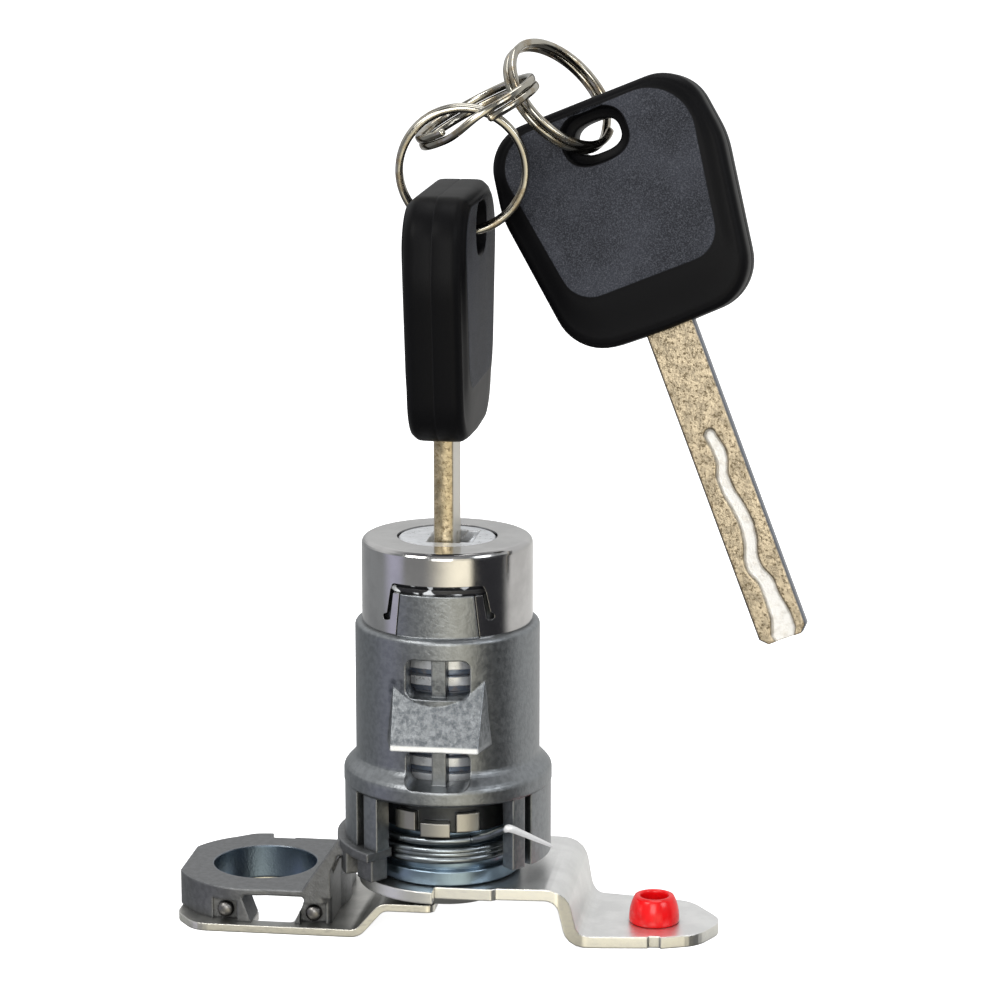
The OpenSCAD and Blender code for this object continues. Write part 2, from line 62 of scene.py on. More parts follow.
class Wire:
    """A number carried by a shader socket, with arithmetic that adds Math nodes."""

    def __init__(self, graph: "Graph", socket: bpy.types.NodeSocket) -> None:
        """Keeps the graph and the socket."""
        self.graph = graph
        self.socket = socket

    def _math(self, operation: str, *values: "Wire | float") -> "Wire":
        """Adds one Math node.

        Args:
            operation: the Math node's operation.
            values: its inputs in order.

        Returns:
            The node's result.
        """
        return self.graph.node("ShaderNodeMath", {"operation": operation}, dict(enumerate(values)))

    def __add__(self, other: "Wire | float") -> "Wire":
        """Sum."""
        return self._math("ADD", self, other)

    __radd__ = __add__

    def __sub__(self, other: "Wire | float") -> "Wire":
        """Difference."""
        return self._math("SUBTRACT", self, other)

    def __rsub__(self, other: float) -> "Wire":
        """Difference from a number."""
        return self._math("SUBTRACT", other, self)

    def __mul__(self, other: "Wire | float") -> "Wire":
        """Product."""
        return self._math("MULTIPLY", self, other)

    __rmul__ = __mul__

    def __truediv__(self, other: "Wire | float") -> "Wire":
        """Quotient."""
        return self._math("DIVIDE", self, other)

    def __pow__(self, other: float) -> "Wire":
        """Power."""
        return self._math("POWER", self, other)

    def size(self) -> "Wire":
        """The value without its sign."""
        return self._math("ABSOLUTE", self)

    def most(self, other: "Wire | float") -> "Wire":
        """The larger of two values."""
        return self._math("MAXIMUM", self, other)

    def ease(self, low: float, high: float) -> "Wire":
        """Goes smoothly from 0 at low to 1 at high, and stays there."""
        return self.graph.node(
            "ShaderNodeMapRange",
            {"interpolation_type": "SMOOTHSTEP"},
            {"Value": self, "From Min": low, "From Max": high},
        )


class Graph:
    """Builds the node tree of one material or of the world."""

    def __init__(self, tree: bpy.types.NodeTree) -> None:
        """Empties the tree and keeps it."""
        self.tree = tree
        tree.nodes.clear()

    def node(self, kind: str, settings: dict | None = None, values: dict | None = None, out: int | str = 0) -> Wire:
        """Adds a node.

        Args:
            kind: the node's type name.
            settings: properties set before its sockets.
            values: numbers, colours or wires by socket name or place.
            out: the output to return.

        Returns:
            The chosen output.
        """
        made = self.tree.nodes.new(kind)
        for name, value in (settings or {}).items():
            setattr(made, name, value)
        for key, value in (values or {}).items():
            if isinstance(value, Wire):
                self.tree.links.new(value.socket, made.inputs[key])
            else:
                made.inputs[key].default_value = value
        return Wire(self, made.outputs[out] if made.outputs else None)

    def place(self, stretch: Point = (1.0, 1.0, 1.0)) -> Wire:
        """Object coordinates in millimetres, each axis multiplied by stretch."""
        raw = self.node("ShaderNodeTexCoord", out="Object")
        return self.node("ShaderNodeMapping", values={"Vector": raw, "Scale": [1000 * s for s in stretch]})

    def noise(self, size: float, detail: float = 3.0, stretch: Point = (1.0, 1.0, 1.0), rough: float = 0.55) -> Wire:
        """Cloudy noise from 0 to 1.

        Args:
            size: width of one cloud in millimetres.
            detail: number of finer layers.
            stretch: how much each axis is squeezed.
            rough: weight of the finer layers.

        Returns:
            The noise value.
        """
        values = {"Vector": self.place(stretch), "Scale": 1.0 / size, "Detail": detail, "Roughness": rough}
        return self.node("ShaderNodeTexNoise", values=values)

    def cells(self, size: float) -> Wire:
        """Distance to the nearest of scattered points that lie about size millimetres apart."""
        return self.node("ShaderNodeTexVoronoi", values={"Vector": self.place(), "Scale": 1.0 / size})

    def parts(self, vector: Wire) -> list[Wire]:
        """The three parts of a vector."""
        return [self.node("ShaderNodeSeparateXYZ", values={0: vector}, out=i) for i in range(3)]

    def from_axis(self, x: float, y: float) -> Wire:
        """Distance in millimetres from the upright line through x and y."""
        across, deep, _ = self.parts(self.place())
        return ((across - x) * (across - x) + (deep - y) * (deep - y)) ** 0.5

    def along(self, direction: Point, start: Point) -> Wire:
        """Distance in millimetres along a direction, counted from start."""
        values = {0: self.place(), 1: direction}
        far = self.node("ShaderNodeVectorMath", {"operation": "DOT_PRODUCT"}, values, out="Value")
        return far - sum(a * b for a, b in zip(direction, start))

    def blend(self, factor: Wire | float, first: "Wire | Colour", second: "Wire | Colour") -> Wire:
        """Mixes two colours.

        Args:
            factor: 0 gives the first, 1 gives the second.
            first: a colour or a wire.
            second: a colour or a wire.

        Returns:
            The mixed colour.
        """
        made = self.tree.nodes.new("ShaderNodeMix")
        made.data_type = "RGBA"
        for place, value in ((0, factor), (6, first), (7, second)):
            if isinstance(value, Wire):
                self.tree.links.new(value.socket, made.inputs[place])
            else:
                made.inputs[place].default_value = value if place == 0 else (*value, 1.0)
        return Wire(self, made.outputs[2])

    def soft_edge(self, radius: float) -> tuple[Wire, Wire]:
        """Rounds the shading of sharp edges.

        Args:
            radius: radius of the rounding in millimetres.

        Returns:
            The rounded normal, and a mask that is 1 on edges and 0 on flat places.
        """
        rounded = self.node("ShaderNodeBevel", {"samples": 6}, {"Radius": radius * MM})
        flat = self.node("ShaderNodeNewGeometry", out="True Normal")
        dot = self.node("ShaderNodeVectorMath", {"operation": "DOT_PRODUCT"}, {0: rounded, 1: flat}, out="Value")
        return rounded, (1.0 - dot).ease(0.01, 0.2)

    def bump(self, height: Wire, depth: float, normal: Wire | None = None) -> Wire:
        """Tilts the normal by a height.

        Args:
            height: height from 0 to 1.
            depth: what a height of 1 stands for, in millimetres.
            normal: the normal to start from.

        Returns:
            The new normal.
        """
        values = {"Height": height, "Distance": depth * MM, "Strength": 1.0}
        if normal is not None:
            values["Normal"] = normal
        return self.node("ShaderNodeBump", values=values)

    def surface(self, values: dict) -> None:
        """Adds the Principled shader with the given sockets and joins it to the output."""
        shader = self.node("ShaderNodeBsdfPrincipled", values=values)
        self.node("ShaderNodeOutputMaterial", values={"Surface": shader})


# Finishes


def darker(colour: Colour, share: float) -> Colour:
    """The colour multiplied by a share."""
    return tuple(c * share for c in colour)


def spare_turn() -> Matrix:
    """The turn of the spare key: the same four turns as in the frame, about Z, X, Y and Z again."""
    steps = ((-82.0, "Z"), (-12.3, "Y"), (20.3, "X"), (-14.0, "Z"))
    turn = Matrix.Identity(3)
    for angle, axis in steps:
        turn = turn @ Matrix.Rotation(math.radians(angle), 3, axis)
    return turn


def teeth(g: Graph) -> Wire:
    """Marks the raised teeth of the stop ring."""
    return g.from_axis(0, 0).ease(9.85, 10.1)


def wedge_foot_highlight(g: Graph) -> Wire:
    """Marks a painted highlight along the edge at the foot of the wedge."""
    _, deep, rise = g.parts(g.place())
    return (1.0 - deep.ease(-15.9, -15.6)) * (1.0 - rise.ease(-14.6, -14.3)) * rise.ease(-15.5, -15.3)


def wedge_face(g: Graph) -> Wire:
    """Marks dark blotches on the wedge's sloping face."""
    _, deep, rise = g.parts(g.place())
    face = (1.0 - deep.ease(-11.5, -11.2)) * (1.0 - rise.ease(-6.2, -5.7)) * rise.ease(-14.6, -14.2)
    return face * (g.noise(0.9, 4.0, rough=0.7).ease(0.36, 0.68) * 0.75 + 0.22)


def eye_bore(g: Graph) -> Wire:
    """Marks the bracket's bored eye."""
    return 1.0 - g.from_axis(*EYE_AT).ease(7.65, 7.75)


def cut_edges(g: Graph) -> Wire:
    """Marks the sheared edges of sheet bent about Y: there the surface faces along Y."""
    facing = g.parts(g.node("ShaderNodeNewGeometry", out="True Normal"))[1].size().ease(0.02, 0.12)
    return facing * (g.noise(0.5, 3.0, (0.35, 1.0, 1.0)).ease(0.3, 0.55) * 0.4 + 0.6)


def milled(g: Graph) -> Wire:
    """Marks the grooves of a blade, by its mesh's attribute, a little worn in patches."""
    worn = g.noise(1.1, 3.0, rough=0.65).ease(0.3, 0.6) * 0.3 + 0.7
    return g.node("ShaderNodeAttribute", {"attribute_name": "milled"}, out="Fac") * worn


def flank(g: Graph) -> Wire:
    """Marks the narrow sides of a blade, by its mesh's attribute."""
    return g.node("ShaderNodeAttribute", {"attribute_name": "flank"}, out="Fac")


def wide_side_highlight(g: Graph) -> Wire:
    """Marks the wide faces of a blade, where the lock key gets a painted highlight."""
    return 1.0 - flank(g)


def spring_arm_highlight(g: Graph) -> Wire:
    """Marks the arm of the return spring, outside the right leg, which gets a painted highlight."""
    return g.from_axis(0, 0).ease(15.7, 16.1)


def glints(g: Graph) -> Wire:
    """Marks a few small glints in the seal's visible gap."""
    return g.noise(1.8, 1.0, (1.0, 1.0, 2.0)).ease(0.56, 0.62)


@dataclass(frozen=True)
class Accent:
    """A second look on the marked part of a piece."""

    where: Callable[[Graph], Wire]
    colour: Colour
    rough: float
    metallic: float = 1.0


@dataclass(frozen=True)
class Metal:
    """A bare or plated metal surface.

    A cloudy mottle varies the colour and the roughness, a fine grain tilts the normal, and edges are
    rounded in the shading and rubbed a little brighter. Hollows, corners and places near other parts are
    darkened, partly as dirt and partly as painted shade.
    """

    name: str
    colour: Colour
    rough: float
    mottle: float = 0.15
    mottle_size: float = 3.0
    grain: float = 0.01
    grain_size: float = 0.25
    stretch: Point = (1.0, 1.0, 1.0)
    edge: float = 0.25
    edge_light: float = 0.35
    metallic: float = 1.0
    stain: Colour | None = None
    stain_share: float = 0.5
    # Strength and reach of the darkening near other surfaces: partly dirt, partly painted shade.
    cavity_dirt_and_shade: float = 0.0
    cavity_reach: float = 2.5
    accents: tuple[Accent, ...] = ()

    def material(self) -> bpy.types.Material:
        """Builds the node tree and returns the material."""
        made = bpy.data.materials.new(self.name)
        made.use_nodes = True
        g = Graph(made.node_tree)
        clouds = g.noise(self.mottle_size, 4.0)
        fine = g.noise(self.grain_size, 2.0, self.stretch)
        rounded, edges = g.soft_edge(self.edge)
        low = darker(self.colour, 1.0 - self.mottle)
        colour = g.blend(clouds.ease(0.35, 0.65), low, darker(self.colour, 1.0 + self.mottle / 2))
        rough = (clouds - 0.5) * self.mottle + (fine - 0.5) * 0.1 + self.rough
        if self.stain:
            spots = g.noise(self.mottle_size / 3, 5.0, rough=0.7).ease(0.5, 0.62) * self.stain_share
            colour = g.blend(spots, colour, self.stain)
            rough = rough + spots * 0.25
        metallic = self.metallic
        for accent in self.accents:
            mark = accent.where(g)
            colour = g.blend(mark, colour, accent.colour)
            rough = rough + (accent.rough - rough) * mark
            metallic = (accent.metallic - metallic) * mark + metallic
        bright = tuple(min(1.0, c * (1 + self.edge_light)) for c in self.colour)
        colour = g.blend(edges * (fine * 0.6 + 0.4), colour, bright)
        # Painted shade with some dirt: hollows, corners and places near other parts are darkened by occlusion.
        if self.cavity_dirt_and_shade:
            hidden = g.node("ShaderNodeAmbientOcclusion", {"samples": 6, "only_local": False},
                            {"Distance": self.cavity_reach * MM}, out="AO")
            dirt_and_shade = (1.0 - hidden).ease(0.25, 0.85) * self.cavity_dirt_and_shade
            colour = g.blend(dirt_and_shade, colour, darker(self.colour, 0.25))
        g.surface({
            "Base Color": colour,
            "Metallic": metallic,
            "Roughness": (rough - edges * 0.06).most(0.04),
            "Normal": g.bump(fine, self.grain, rounded),
        })
        return made


@dataclass(frozen=True)
class Moulded:
    """A moulded plastic or rubber surface with a spark-eroded grain."""

    name: str
    colour: Colour
    rough: float
    grain: float = 0.02
    grain_size: float = 0.3
    edge: float = 0.3
    coat: float = 0.0
    shine: float = 0.5
    worn: Colour | None = None
    glow: float = 0.0
    accents: tuple[Accent, ...] = ()

    def material(self) -> bpy.types.Material:
        """Builds the node tree and returns the material."""
        made = bpy.data.materials.new(self.name)
        made.use_nodes = True
        g = Graph(made.node_tree)
        clouds = g.noise(4.0, 4.0)
        fine = g.noise(self.grain_size, 3.0)
        rounded, edges = g.soft_edge(self.edge)
        colour = g.blend(clouds.ease(0.3, 0.7), darker(self.colour, 0.85), darker(self.colour, 1.12))
        colour = g.blend(edges * 0.5, colour, self.worn or darker(self.colour, 1.5))
        rough = (clouds - 0.5) * 0.12 + (fine - 0.5) * 0.15 + self.rough
        for accent in self.accents:
            mark = accent.where(g)
            colour = g.blend(mark, colour, accent.colour)
            rough = rough + (accent.rough - rough) * mark
        values = {"Base Color": colour, "Roughness": rough, "Normal": g.bump(fine, self.grain, rounded),
                  "Specular IOR Level": self.shine}
        if self.coat:
            values |= {"Coat Weight": self.coat, "Coat Roughness": 0.08}
        if self.glow:
            values |= {"Subsurface Weight": self.glow, "Subsurface Radius": (0.002, 0.0004, 0.0003)}
        g.surface(values)
        return made


@dataclass(frozen=True)
class HeadPlastic:
    """The key head's plastic: a smooth near-black band round a grained, speckled charcoal face.

    The mesh carries an attribute that is 1 on the face and 0 on the band and in the hole.
    """

    name: str
    band: Colour
    face: Colour
    speckle: Colour
    attribute: str = "grained"

    def material(self) -> bpy.types.Material:
        """Builds the node tree and returns the material."""
        made = bpy.data.materials.new(self.name)
        made.use_nodes = True
        g = Graph(made.node_tree)
        inside = g.node("ShaderNodeAttribute", {"attribute_name": self.attribute}, out="Fac").ease(0.15, 0.85)
        grit = g.noise(0.2, 2.0, rough=0.9)
        patches = g.noise(9.0, 3.0)
        colour = g.blend(patches.ease(0.35, 0.65), darker(self.face, 0.75), darker(self.face, 1.35))
        colour = g.blend(grit.ease(0.42, 0.72) * 0.75, colour, self.speckle)
        rounded, edges = g.soft_edge(0.3)
        band = g.blend(edges * 0.6, self.band, darker(self.band, 2.5))
        rough = inside * (grit * 0.2 + 0.02) + patches * 0.1 + 0.38
        g.surface({
            "Base Color": g.blend(inside, band, colour),
            "Roughness": rough,
            "IOR": 1.15,
            "Normal": g.bump(grit * inside, 0.05, rounded),
        })
        return made


class Finish(Enum):
    """Every finish on the lock and its keys."""

    CASTING = Metal("die_cast_zinc", (0.265, 0.28, 0.292), 0.38, mottle=0.13, mottle_size=0.8, grain=0.035,
                    grain_size=0.4, edge=0.35, edge_light=0.5, cavity_dirt_and_shade=0.8,
                    accents=(Accent(wedge_face, (0.1, 0.11, 0.12), 0.42),
                             # A near-white painted highlight along the wedge's foot.
                             Accent(wedge_foot_highlight, (0.66, 0.66, 0.63), 0.4, 0.3)))
    BLASTED = Metal("blasted_casting", (0.2, 0.205, 0.21), 0.52, mottle=0.14, mottle_size=0.9, grain=0.05,
                    grain_size=0.3, edge=0.5, edge_light=0.45, cavity_dirt_and_shade=0.85,
                    accents=(Accent(eye_bore, (0.15, 0.2, 0.26), 0.3),))
    # The cap's strong darkening paints the shade where it meets the housing.
    CAP = Metal("drawn_cap", (0.52, 0.515, 0.51), 0.14, mottle=0.1, mottle_size=5.0, grain=0.003,
                grain_size=0.4, edge=0.07, edge_light=0.1, cavity_dirt_and_shade=0.95)
    PLUG = Metal("plug_face", (0.74, 0.76, 0.79), 0.3, mottle=0.12, mottle_size=1.5, grain=0.01,
                 edge=0.2, cavity_dirt_and_shade=0.45, metallic=0.6)
    # The lever's long darkening reach paints the shade that falls on it near the housing.
    LEVER = Metal("lever_steel", (0.82, 0.82, 0.81), 0.36, mottle=0.07, mottle_size=4.0, grain=0.01,
                  grain_size=0.4, edge=0.3, edge_light=0.2, cavity_dirt_and_shade=0.9, cavity_reach=9.0,
                  accents=(Accent(cut_edges, (0.93, 0.925, 0.86), 0.36),))
    STRAP = Metal("strap_steel", (0.46, 0.455, 0.43), 0.38, mottle=0.14, mottle_size=2.5, grain=0.014,
                  grain_size=0.3, edge=0.25, edge_light=0.7, cavity_dirt_and_shade=0.7,
                  accents=(Accent(cut_edges, (0.85, 0.83, 0.74), 0.3),))
    RIVET = Metal("rivet_steel", (0.19, 0.185, 0.18), 0.36, cavity_dirt_and_shade=0.9)
    SPRING = Metal("spring_wire", (0.26, 0.29, 0.31), 0.3, mottle=0.15, edge=0.1, cavity_dirt_and_shade=0.9,
                   # The spring's arm outside the leg is painted bright: a painted highlight.
                   accents=(Accent(spring_arm_highlight, (0.78, 0.78, 0.78), 0.35, 0.3),))
    SMALL_SPRING = Metal("small_springs", (0.62, 0.63, 0.64), 0.25, edge=0.05)
    DARK_STEEL = Metal("dark_sleeve", (0.06, 0.063, 0.066), 0.4, mottle=0.2, edge=0.3, edge_light=2.0,
                       accents=(Accent(teeth, (0.42, 0.41, 0.38), 0.36),))
    BLUED = Metal("blued_drum", (0.27, 0.36, 0.44), 0.34, mottle=0.12, edge=0.2, edge_light=0.5, cavity_dirt_and_shade=0.5)
    WAFER = Metal("wafer_steel", (0.24, 0.29, 0.38), 0.3, mottle=0.1, edge=0.12, cavity_dirt_and_shade=0.3,
                  metallic=0.6, stain=(0.75, 0.5, 0.25), stain_share=0.2)
    BRASS = Metal("bar_brass", (0.62, 0.5, 0.3), 0.3, mottle=0.12, edge=0.1)
    KEY_METAL = Metal("key_blade", (0.5, 0.42, 0.28), 0.36, mottle=0.3, mottle_size=1.2, grain=0.03,
                      grain_size=0.3, edge=0.08, edge_light=0.2, cavity_dirt_and_shade=0.3, stain=(0.2, 0.15, 0.08),
                      # The lock key's wide faces are painted lighter: a painted highlight.
                      stain_share=0.8, accents=(Accent(wide_side_highlight, (0.6, 0.57, 0.5), 0.36, 0.5),
                                              Accent(milled, (0.72, 0.71, 0.68), 0.4, 0.3)))
    SPARE_METAL = Metal("spare_blade", (0.4, 0.335, 0.235), 0.36, mottle=0.35, mottle_size=1.3, grain=0.03,
                        grain_size=0.3, edge=0.08, edge_light=0.2, cavity_dirt_and_shade=0.4, stain=(0.12, 0.09, 0.05),
                        # The spare blade's narrow sides are painted darker: painted shade.
                        stain_share=0.8, accents=(Accent(flank, (0.13, 0.15, 0.19), 0.3),
                                                  Accent(milled, (0.72, 0.71, 0.68), 0.4, 0.3)))
    NICKEL = Metal("ring_nickel", (0.43, 0.41, 0.355), 0.14, mottle=0.1, mottle_size=8.0, grain=0.0,
                   grain_size=0.5, edge=0.08, edge_light=0.1, cavity_dirt_and_shade=0.6, stain=(0.24, 0.17, 0.08),
                   stain_share=0.6)
    BLACK = HeadPlastic("key_plastic", (0.004, 0.004, 0.0045), (0.026, 0.0275, 0.0335), (0.095, 0.1, 0.115))
    RED = Moulded("red_bush", (0.76, 0.004, 0.006), 0.2, grain=0.0, edge=0.2, shine=0.4,
                  worn=(0.66, 0.008, 0.01))
    RUBBER = Moulded("seal_rubber", (0.012, 0.012, 0.014), 0.4, grain=0.02,
                     accents=(Accent(glints, (0.8, 0.82, 0.84), 0.2),))


NODE_FINISH = {
    Finish.CASTING: ["housing"],
    Finish.BLASTED: ["eye_bracket"],
    Finish.CAP: ["face_cap"],
    Finish.PLUG: ["plug", "shutter", "shutter_pin"],
    Finish.LEVER: ["lever", "tail_washer"],
    Finish.STRAP: ["bracket_strap"],
    Finish.RIVET: ["bracket_rivets"],
    Finish.SPRING: ["return_spring"],
    Finish.SMALL_SPRING: ["sidebar_springs", "wafer_springs"],
    Finish.DARK_STEEL: ["stop_ring", "tail_clip"],
    Finish.BLUED: ["spring_drum"],
    Finish.WAFER: [f"wafer_{i}" for i in range(1, 9)],
    Finish.BRASS: ["sidebar"],
    Finish.KEY_METAL: ["key_blade"],
    Finish.SPARE_METAL: ["spare_blade"],
    Finish.NICKEL: ["split_ring_a", "split_ring_b", "split_ring_c"],
    Finish.BLACK: ["key_head", "spare_head"],
    Finish.RED: ["rod_bush"],
    Finish.RUBBER: ["dust_seal"],
}


class Wardrobe:
    """Makes each finish once and gives it to pieces and CAD nodes."""

    def __init__(self) -> None:
        """Starts with no finish made."""
        self.made: dict[Finish, bpy.types.Material] = {}

    def material(self, finish: Finish) -> bpy.types.Material:
        """The material of a finish, made on first use."""
        if finish not in self.made:
            self.made[finish] = finish.value.material()
        return self.made[finish]

    def dress(self, piece: bpy.types.Object, finish: Finish) -> None:
        """Gives the piece one finish all over."""
        piece.data.materials.clear()
        piece.data.materials.append(self.material(finish))

    def dress_nodes(self) -> None:
        """Gives every CAD node its finish."""
        for finish, names in NODE_FINISH.items():
            for name in names:
                self.dress(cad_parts[name], finish)
                LOG.info("node %s wears %s", name, finish.value.name)


# Surfaces worked out with numpy


def grid_piece(name: str, grid: np.ndarray, round_u: bool = True, round_v: bool = False,
               caps: bool = False) -> bpy.types.Object:
    """Makes a mesh from a grid of points.

    Args:
        name: the piece's name.
        grid: points in millimetres, rows along v and columns along u, shape (v, u, 3).
        round_u: joins the last column to the first.
        round_v: joins the last row to the first.
        caps: closes the first and last row with one face each.

    Returns:
        The piece, in metres, smooth shaded.
    """
    rows, cols = grid.shape[:2]
    i = np.arange(rows if round_v else rows - 1)[:, None]
    j = np.arange(cols if round_u else cols - 1)[None, :]
    i2, j2 = (i + 1) % rows, (j + 1) % cols
    quads = np.stack([i * cols + j, i * cols + j2, i2 * cols + j2, i2 * cols + j], -1).reshape(-1, 4)
    faces = quads.tolist()
    if caps:
        faces += [list(range(cols))[::-1], list(range((rows - 1) * cols, rows * cols))]
    mesh = bpy.data.meshes.new(name)
    mesh.from_pydata((grid.reshape(-1, 3) * MM).tolist(), [], faces)
    mesh.shade_smooth()
    piece = bpy.data.objects.new(name, mesh)
    bpy.context.collection.objects.link(piece)
    return piece


def smooth(x: np.ndarray) -> np.ndarray:
    """Eases from 0 to 1 as x does: three times its square less twice its cube."""
    x = np.clip(x, 0.0, 1.0)
    return x * x * (3 - 2 * x)


def rounded_outline(corners: list[tuple[float, float, float]], count: int = 24) -> np.ndarray:
    """A closed outline whose corners are arcs.

    Each arc's centre lies on the bisector of its corner, at the radius over the sine of the half angle.

    Args:
        corners: x, y and radius of each corner, counter-clockwise.
        count: points on each arc.

    Returns:
        The outline's points, shape (n, 2).
    """
    c = np.array(corners)
    p, r = c[:, :2], c[:, 2]
    u, v = np.roll(p, 1, 0) - p, np.roll(p, -1, 0) - p
    u /= np.linalg.norm(u, axis=1)[:, None]
    v /= np.linalg.norm(v, axis=1)[:, None]
    half = np.arccos(np.clip((u * v).sum(1), -1, 1)) / 2
    both = (u + v) / np.linalg.norm(u + v, axis=1)[:, None]
    centre = p + both * (r / np.sin(half))[:, None]
    start = p + u * (r / np.tan(half))[:, None] - centre
    end = p + v * (r / np.tan(half))[:, None] - centre
    t = np.linspace(0, 1, count)[None, :, None]
    way = start[:, None] * (1 - t) + end[:, None] * t
    way *= r[:, None, None] / np.linalg.norm(way, axis=2)[..., None]
    return (centre[:, None] + way).reshape(-1, 2)


def reach(outline: np.ndarray, centre: tuple[float, float], angles: np.ndarray) -> np.ndarray:
    """Distance from a centre to an outline in each direction, read off points along its sides by their angle."""
    t = np.linspace(0, 1, 24, endpoint=False)[None, :, None]
    along = outline[:, None] * (1 - t) + np.roll(outline, -1, 0)[:, None] * t
    d = along.reshape(-1, 2) - np.array(centre)
    turn = np.arctan2(d[:, 1], d[:, 0]) % (2 * np.pi)
    order = np.argsort(turn)
    return np.interp(angles, turn[order], np.hypot(d[:, 0], d[:, 1])[order], period=2 * np.pi)


def tube(name: str, path: np.ndarray, across: float, high: float, power: float = 2.0,
         hint: np.ndarray | None = None, sides: int = 14, tip: float = 1.0) -> bpy.types.Object:
    """A wire carried along a path.

    Its section is a superellipse: each half width times the signed cosine and sine raised to 2 over power.

    Args:
        name: the piece's name.
        path: points of its middle line in millimetres.
        across: half width along the direction that lies square to hint.
        high: half width along hint.
        power: 2 is round, more is squarer.
        hint: a direction per point, or one for all, that the section's height keeps to.
        sides: points round the section.
        tip: size of the section at the path's start, which grows to 1 over its first 24 points.

    Returns:
        The piece, its ends closed by domes.
    """
    along = np.gradient(path, axis=0)
    along /= np.linalg.norm(along, axis=1)[:, None]
    up = np.broadcast_to(np.array([0.0, 0.0, 1.0]) if hint is None else hint, path.shape)
    side = np.cross(along, up)
    side /= np.linalg.norm(side, axis=1)[:, None]
    up = np.cross(side, along)
    a = 2 * np.pi * np.arange(sides) / sides
    x = across * np.sign(np.cos(a)) * np.abs(np.cos(a)) ** (2 / power)
    y = high * np.sign(np.sin(a)) * np.abs(np.sin(a)) ** (2 / power)
    # Domed ends: the section shrinks as a quarter circle while the path goes on by its height
    q = np.linspace(0, np.pi / 2, 5)[1:-1]
    size = np.concatenate([np.cos(q)[::-1], np.ones(len(path)), np.cos(q)])
    reach_out = np.concatenate([-np.sin(q)[::-1], np.zeros(len(path)), np.sin(q)]) * high * 0.8
    take = np.concatenate([np.zeros(3, int), np.arange(len(path)), np.full(3, len(path) - 1)])
    size *= np.interp(take, [0, 24], [tip, 1.0])
    middle = path[take] + along[take] * reach_out[:, None]
    ring = x[None, :, None] * side[take][:, None] + y[None, :, None] * up[take][:, None]
    return grid_piece(name, middle[:, None] + ring * size[:, None, None], caps=True)


def turned(tilt: float, heading: float, spin: float = 0.0) -> np.ndarray:
    """The turn that tips +Z by tilt, swings it about Z to heading, after a spin about Z, in degrees."""
    def about(axis: str, angle: float) -> np.ndarray:
        """The turn about one axis."""
        return np.array(Matrix.Rotation(math.radians(angle), 3, axis))
    return about("Z", heading) @ about("Y", tilt) @ about("Z", spin)


# Sub-assemblies


@dataclass
class SplitRing:
    """Two turns of flattened wire pressed side by side, with an eased step where they change places."""

    name: str
    node: str
    body: str
    centre: Point
    tilt: float
    heading: float
    spin: float
    mean_radius: float = 8.7
    wire: float = 1.1
    turns: float = 1.87

    def build(self, wardrobe: "Wardrobe") -> bpy.types.Object:
        """Makes the ring: a circle whose height steps by one wire in the gap between its two ends.

        Args:
            wardrobe: gives the finish.

        Returns:
            The ring, riding on its body.
        """
        degrees = np.arange(0.0, 360.0 * self.turns, 2.5)
        a = np.radians(degrees)
        crossing = 360.0 * (self.turns - 1.0)
        step = self.wire * 1.04 * (smooth((degrees - crossing) / (360.0 - crossing)) - 0.5)
        flat = np.stack([self.mean_radius * np.cos(a), self.mean_radius * np.sin(a), step], -1)
        turn = turned(self.tilt, self.heading, self.spin)
        path = flat @ turn.T + np.array(self.centre)
        half = self.wire / 2 * 0.985
        piece = tube(self.name, path, half, half, 2.9, turn @ np.array([0.0, 0.0, 1.0]), 16)
        wardrobe.dress(piece, Finish.NICKEL)
        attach(piece, self.body)
        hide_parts(self.node)
        return piece


